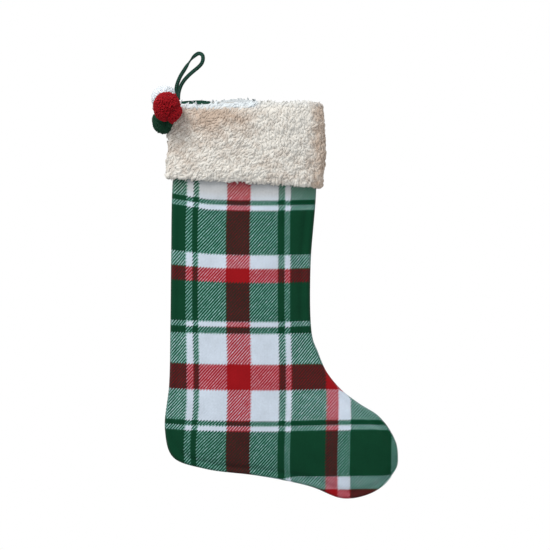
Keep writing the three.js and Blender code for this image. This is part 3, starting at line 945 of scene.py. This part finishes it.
POM_STRANDS = 2800
STRAND_SIDES = 5
STRAND_RADII = np.array([0.45, 0.76, 0.66])  # at the core, below the surface and at the cut end
SURFACE_SHARE = 0.86  # how far out the strands start to spread
LOBE = {"height": 0.16, "from": 0.7, "full": 0.9}
CREASE = {"depth": 0.1, "at": 0.68, "width": 0.08}
GOLDEN_ANGLE = math.pi * (3 - math.sqrt(5))

# radii are the ball's own along X, Y and Z, and shift moves it from the middle of the CAD ball. lobe is a
# direction in which the ball bulges, and core the tone of the painted shade at the ball's core.
POM_POMS = {
    "white": {"radii": (17.4, 14.5, 15.8), "shift": (0, 0, 1.8), "seed": 21,
              "colour": (0.74, 0.77, 0.80), "core": 1.05},
    "red": {"radii": (17.4, 15.5, 18.8), "shift": (0, -1, 0), "seed": 22,
            "colour": (0.34, 0.007, 0.013), "core": 0.35, "lobe": (0.74, -0.15, -0.67)},
    "green": {"radii": (14.2, 13.5, 15.4), "shift": (2.4, 0, 0), "seed": 23,
              "colour": (0.010, 0.052, 0.027), "core": 0.35},
}


def spread_direction(i):
    """The direction of strand i, when all are spread evenly over a ball."""
    z = 1 - 2 * (i + 0.5) / POM_STRANDS
    ring = math.sqrt(1 - z * z)
    return np.array([ring * math.cos(GOLDEN_ANGLE * i), ring * math.sin(GOLDEN_ANGLE * i), z])


def lobed(direction, lobe):
    """A strand's reach next to a plain ball's: more in the lobe, less in the crease round it."""
    near = float(np.dot(direction, unit(np.array(lobe, float))))
    crease = CREASE["depth"] * math.exp(-((near - CREASE["at"]) / CREASE["width"]) ** 2)
    return 1 + LOBE["height"] * smoothstep(near, LOBE["from"], LOBE["full"]) - crease


def pom_pom(name, radii, shift, seed, material, lobe=None):
    """A ball of cut yarn: strands from the core to the surface, each with its own length and bend."""
    rng = np.random.default_rng(seed)
    low, high = (np.array(p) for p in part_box(f"pom_pom_{name}"))
    centre = (low + high) / 2 / MM + np.array(shift)
    bundle = Bundle()
    for i in range(POM_STRANDS):
        direction = unit(spread_direction(i) + rng.normal(size=3) * 0.05)
        clump = noise.fractal(Vector(direction) * 2.6 + Vector((seed, 0, 0)), 1.0, 2.0, 3)
        reach = 1 + 0.05 * clump + 0.025 * rng.normal()
        if lobe is not None:
            reach *= lobed(direction, lobe)
        out = direction * np.array(radii, float)
        side = unit(np.cross(direction, rng.normal(size=3))) * rng.normal() * 0.5
        line = np.array([out * 0.55, out * reach * SURFACE_SHARE + side, out * reach + side * 2.6])
        verts, faces = tube_mesh(line + centre, STRAND_RADII * rng.uniform(0.85, 1.2), STRAND_SIDES)
        # Strands that end deeper in the ball get a lower rise, which the wool paints darker as shade.
        far = np.clip((reach - SURFACE_SHARE) / 0.2, 0, 1)
        rise = np.repeat([0.0, 0.5 + 0.3 * far, 0.5 + 0.5 * far], STRAND_SIDES)
        rise = np.concatenate([rise, [0.0, far]])
        bundle.add(verts * MM, faces, tone=rng.random(), rise=rise)
    ball = bundle.piece(f"{name}_pom_pom_yarn")
    ball.data.materials.append(material)
    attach(ball, f"{name}_pom_pom")
    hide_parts(f"pom_pom_{name}")


# ------------------------------ the hanging loop

TAPE = {"half_width": 2.5, "flat": 0.42, "rings": 170, "sides": 20}
TURN_FROM, TURN_TO = 0.27, 0.5  # between these shares of its length the tape turns over once
FOOT_FROM = 0.88  # from here on each leg narrows towards its sewn end
FOOT_LOSS = 0.3
STITCH = {"pitch": 2.6, "length": 1.7, "radius": 0.24}


def hanging_loop(material, stitch_material):
    """A narrow folded tape, sewn along its middle, that turns over once on its way over the hook."""
    count = TAPE["rings"]
    route = resampled(centripetal(LOOP_ROUTE, 400), count)
    share = np.linspace(0, 1, count)
    facing = np.tile([0.0, 1.0, 0.0], (count, 1))
    twist = math.pi * smoothstep(share, TURN_FROM, TURN_TO)
    narrowed = smoothstep(share, FOOT_FROM, 1) + smoothstep(1 - share, FOOT_FROM, 1)
    width = TAPE["half_width"] * (1 - FOOT_LOSS * narrowed)
    verts, faces = tube_mesh(route, width, TAPE["sides"], ups=facing, flat=TAPE["flat"], turn=twist)
    loop = new_piece("hanging_loop_tape", verts * MM, faces)
    loop.data.materials.append(material)
    stitches = tape_stitches(route, twist, facing)
    stitches.data.materials.append(stitch_material)
    for piece in (loop, stitches):
        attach(piece, "loop")
        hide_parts("hanging_loop")


def tape_stitches(route, twist, facing):
    """A row of stitches on each face of the tape."""
    tangent = unit(np.gradient(route, axis=0))
    flat_way = unit(facing - tangent * np.sum(facing * tangent, axis=1, keepdims=True))
    wide = np.cross(tangent, flat_way)
    out = flat_way * np.cos(twist)[:, None] - wide * np.sin(twist)[:, None]
    along = np.concatenate([[0], np.cumsum(np.linalg.norm(np.diff(route, axis=0), axis=1))])
    bundle = Bundle()
    for start in np.arange(4, along[-1] - 4, STITCH["pitch"]):
        spots = np.linspace(start, start + STITCH["length"], 5)
        middle = np.column_stack([np.interp(spots, along, route[:, k]) for k in range(3)])
        away = unit(np.column_stack([np.interp(spots, along, out[:, k]) for k in range(3)]))
        lift = TAPE["half_width"] * TAPE["flat"] * (0.92 + 0.16 * np.sin(np.linspace(0, math.pi, 5)))
        for face in (-1, 1):
            verts, faces = tube_mesh(middle + away * lift[:, None] * face, np.full(5, STITCH["radius"]), 6)
            bundle.add(verts * MM, faces)
    return bundle.piece("hanging_loop_stitches")


def dress_threads(nodes, material):
    """Gives threads of the CAD, which are seen as they are, their material."""
    for node in nodes:
        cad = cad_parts[node]
        cad.data.materials.clear()
        cad.data.materials.append(material)


def main():
    add_camera()
    add_lights()
    add_floor()
    flannel = plaid_flannel()
    lining = lining_cloth()
    pile = sherpa()
    green_thread = thread_material("green_thread", GREEN_THREAD)
    cream_thread = thread_material("cream_thread", CREAM_THREAD)
    hanging_loop(tape_cloth(), thread_material("tape_thread", TAPE_THREAD))
    for half, label in HALVES:
        shell_panel(half, f"plaid_{label}", f"shell_{label}", flannel)
    for half, label in HALVES:
        lining_panel(half, f"lining_{label}_cloth", f"lining_{label}", lining)
    for half, label in HALVES:
        cuff_half(half, label, pile)
    dress_threads(("shell_seam_thread", "lining_seam_thread", "loop_bar_tack"), green_thread)
    dress_threads(("mouth_seam_thread", "cuff_heel_seam_thread", "cuff_instep_seam_thread"), cream_thread)
    for name, pom in POM_POMS.items():
        yarn = wool(f"{name}_wool", pom["colour"], pom["core"])
        pom_pom(name, pom["radii"], pom["shift"], pom["seed"], yarn, pom.get("lobe"))
        dress_threads((f"pom_tie_{name}",), yarn)


main()
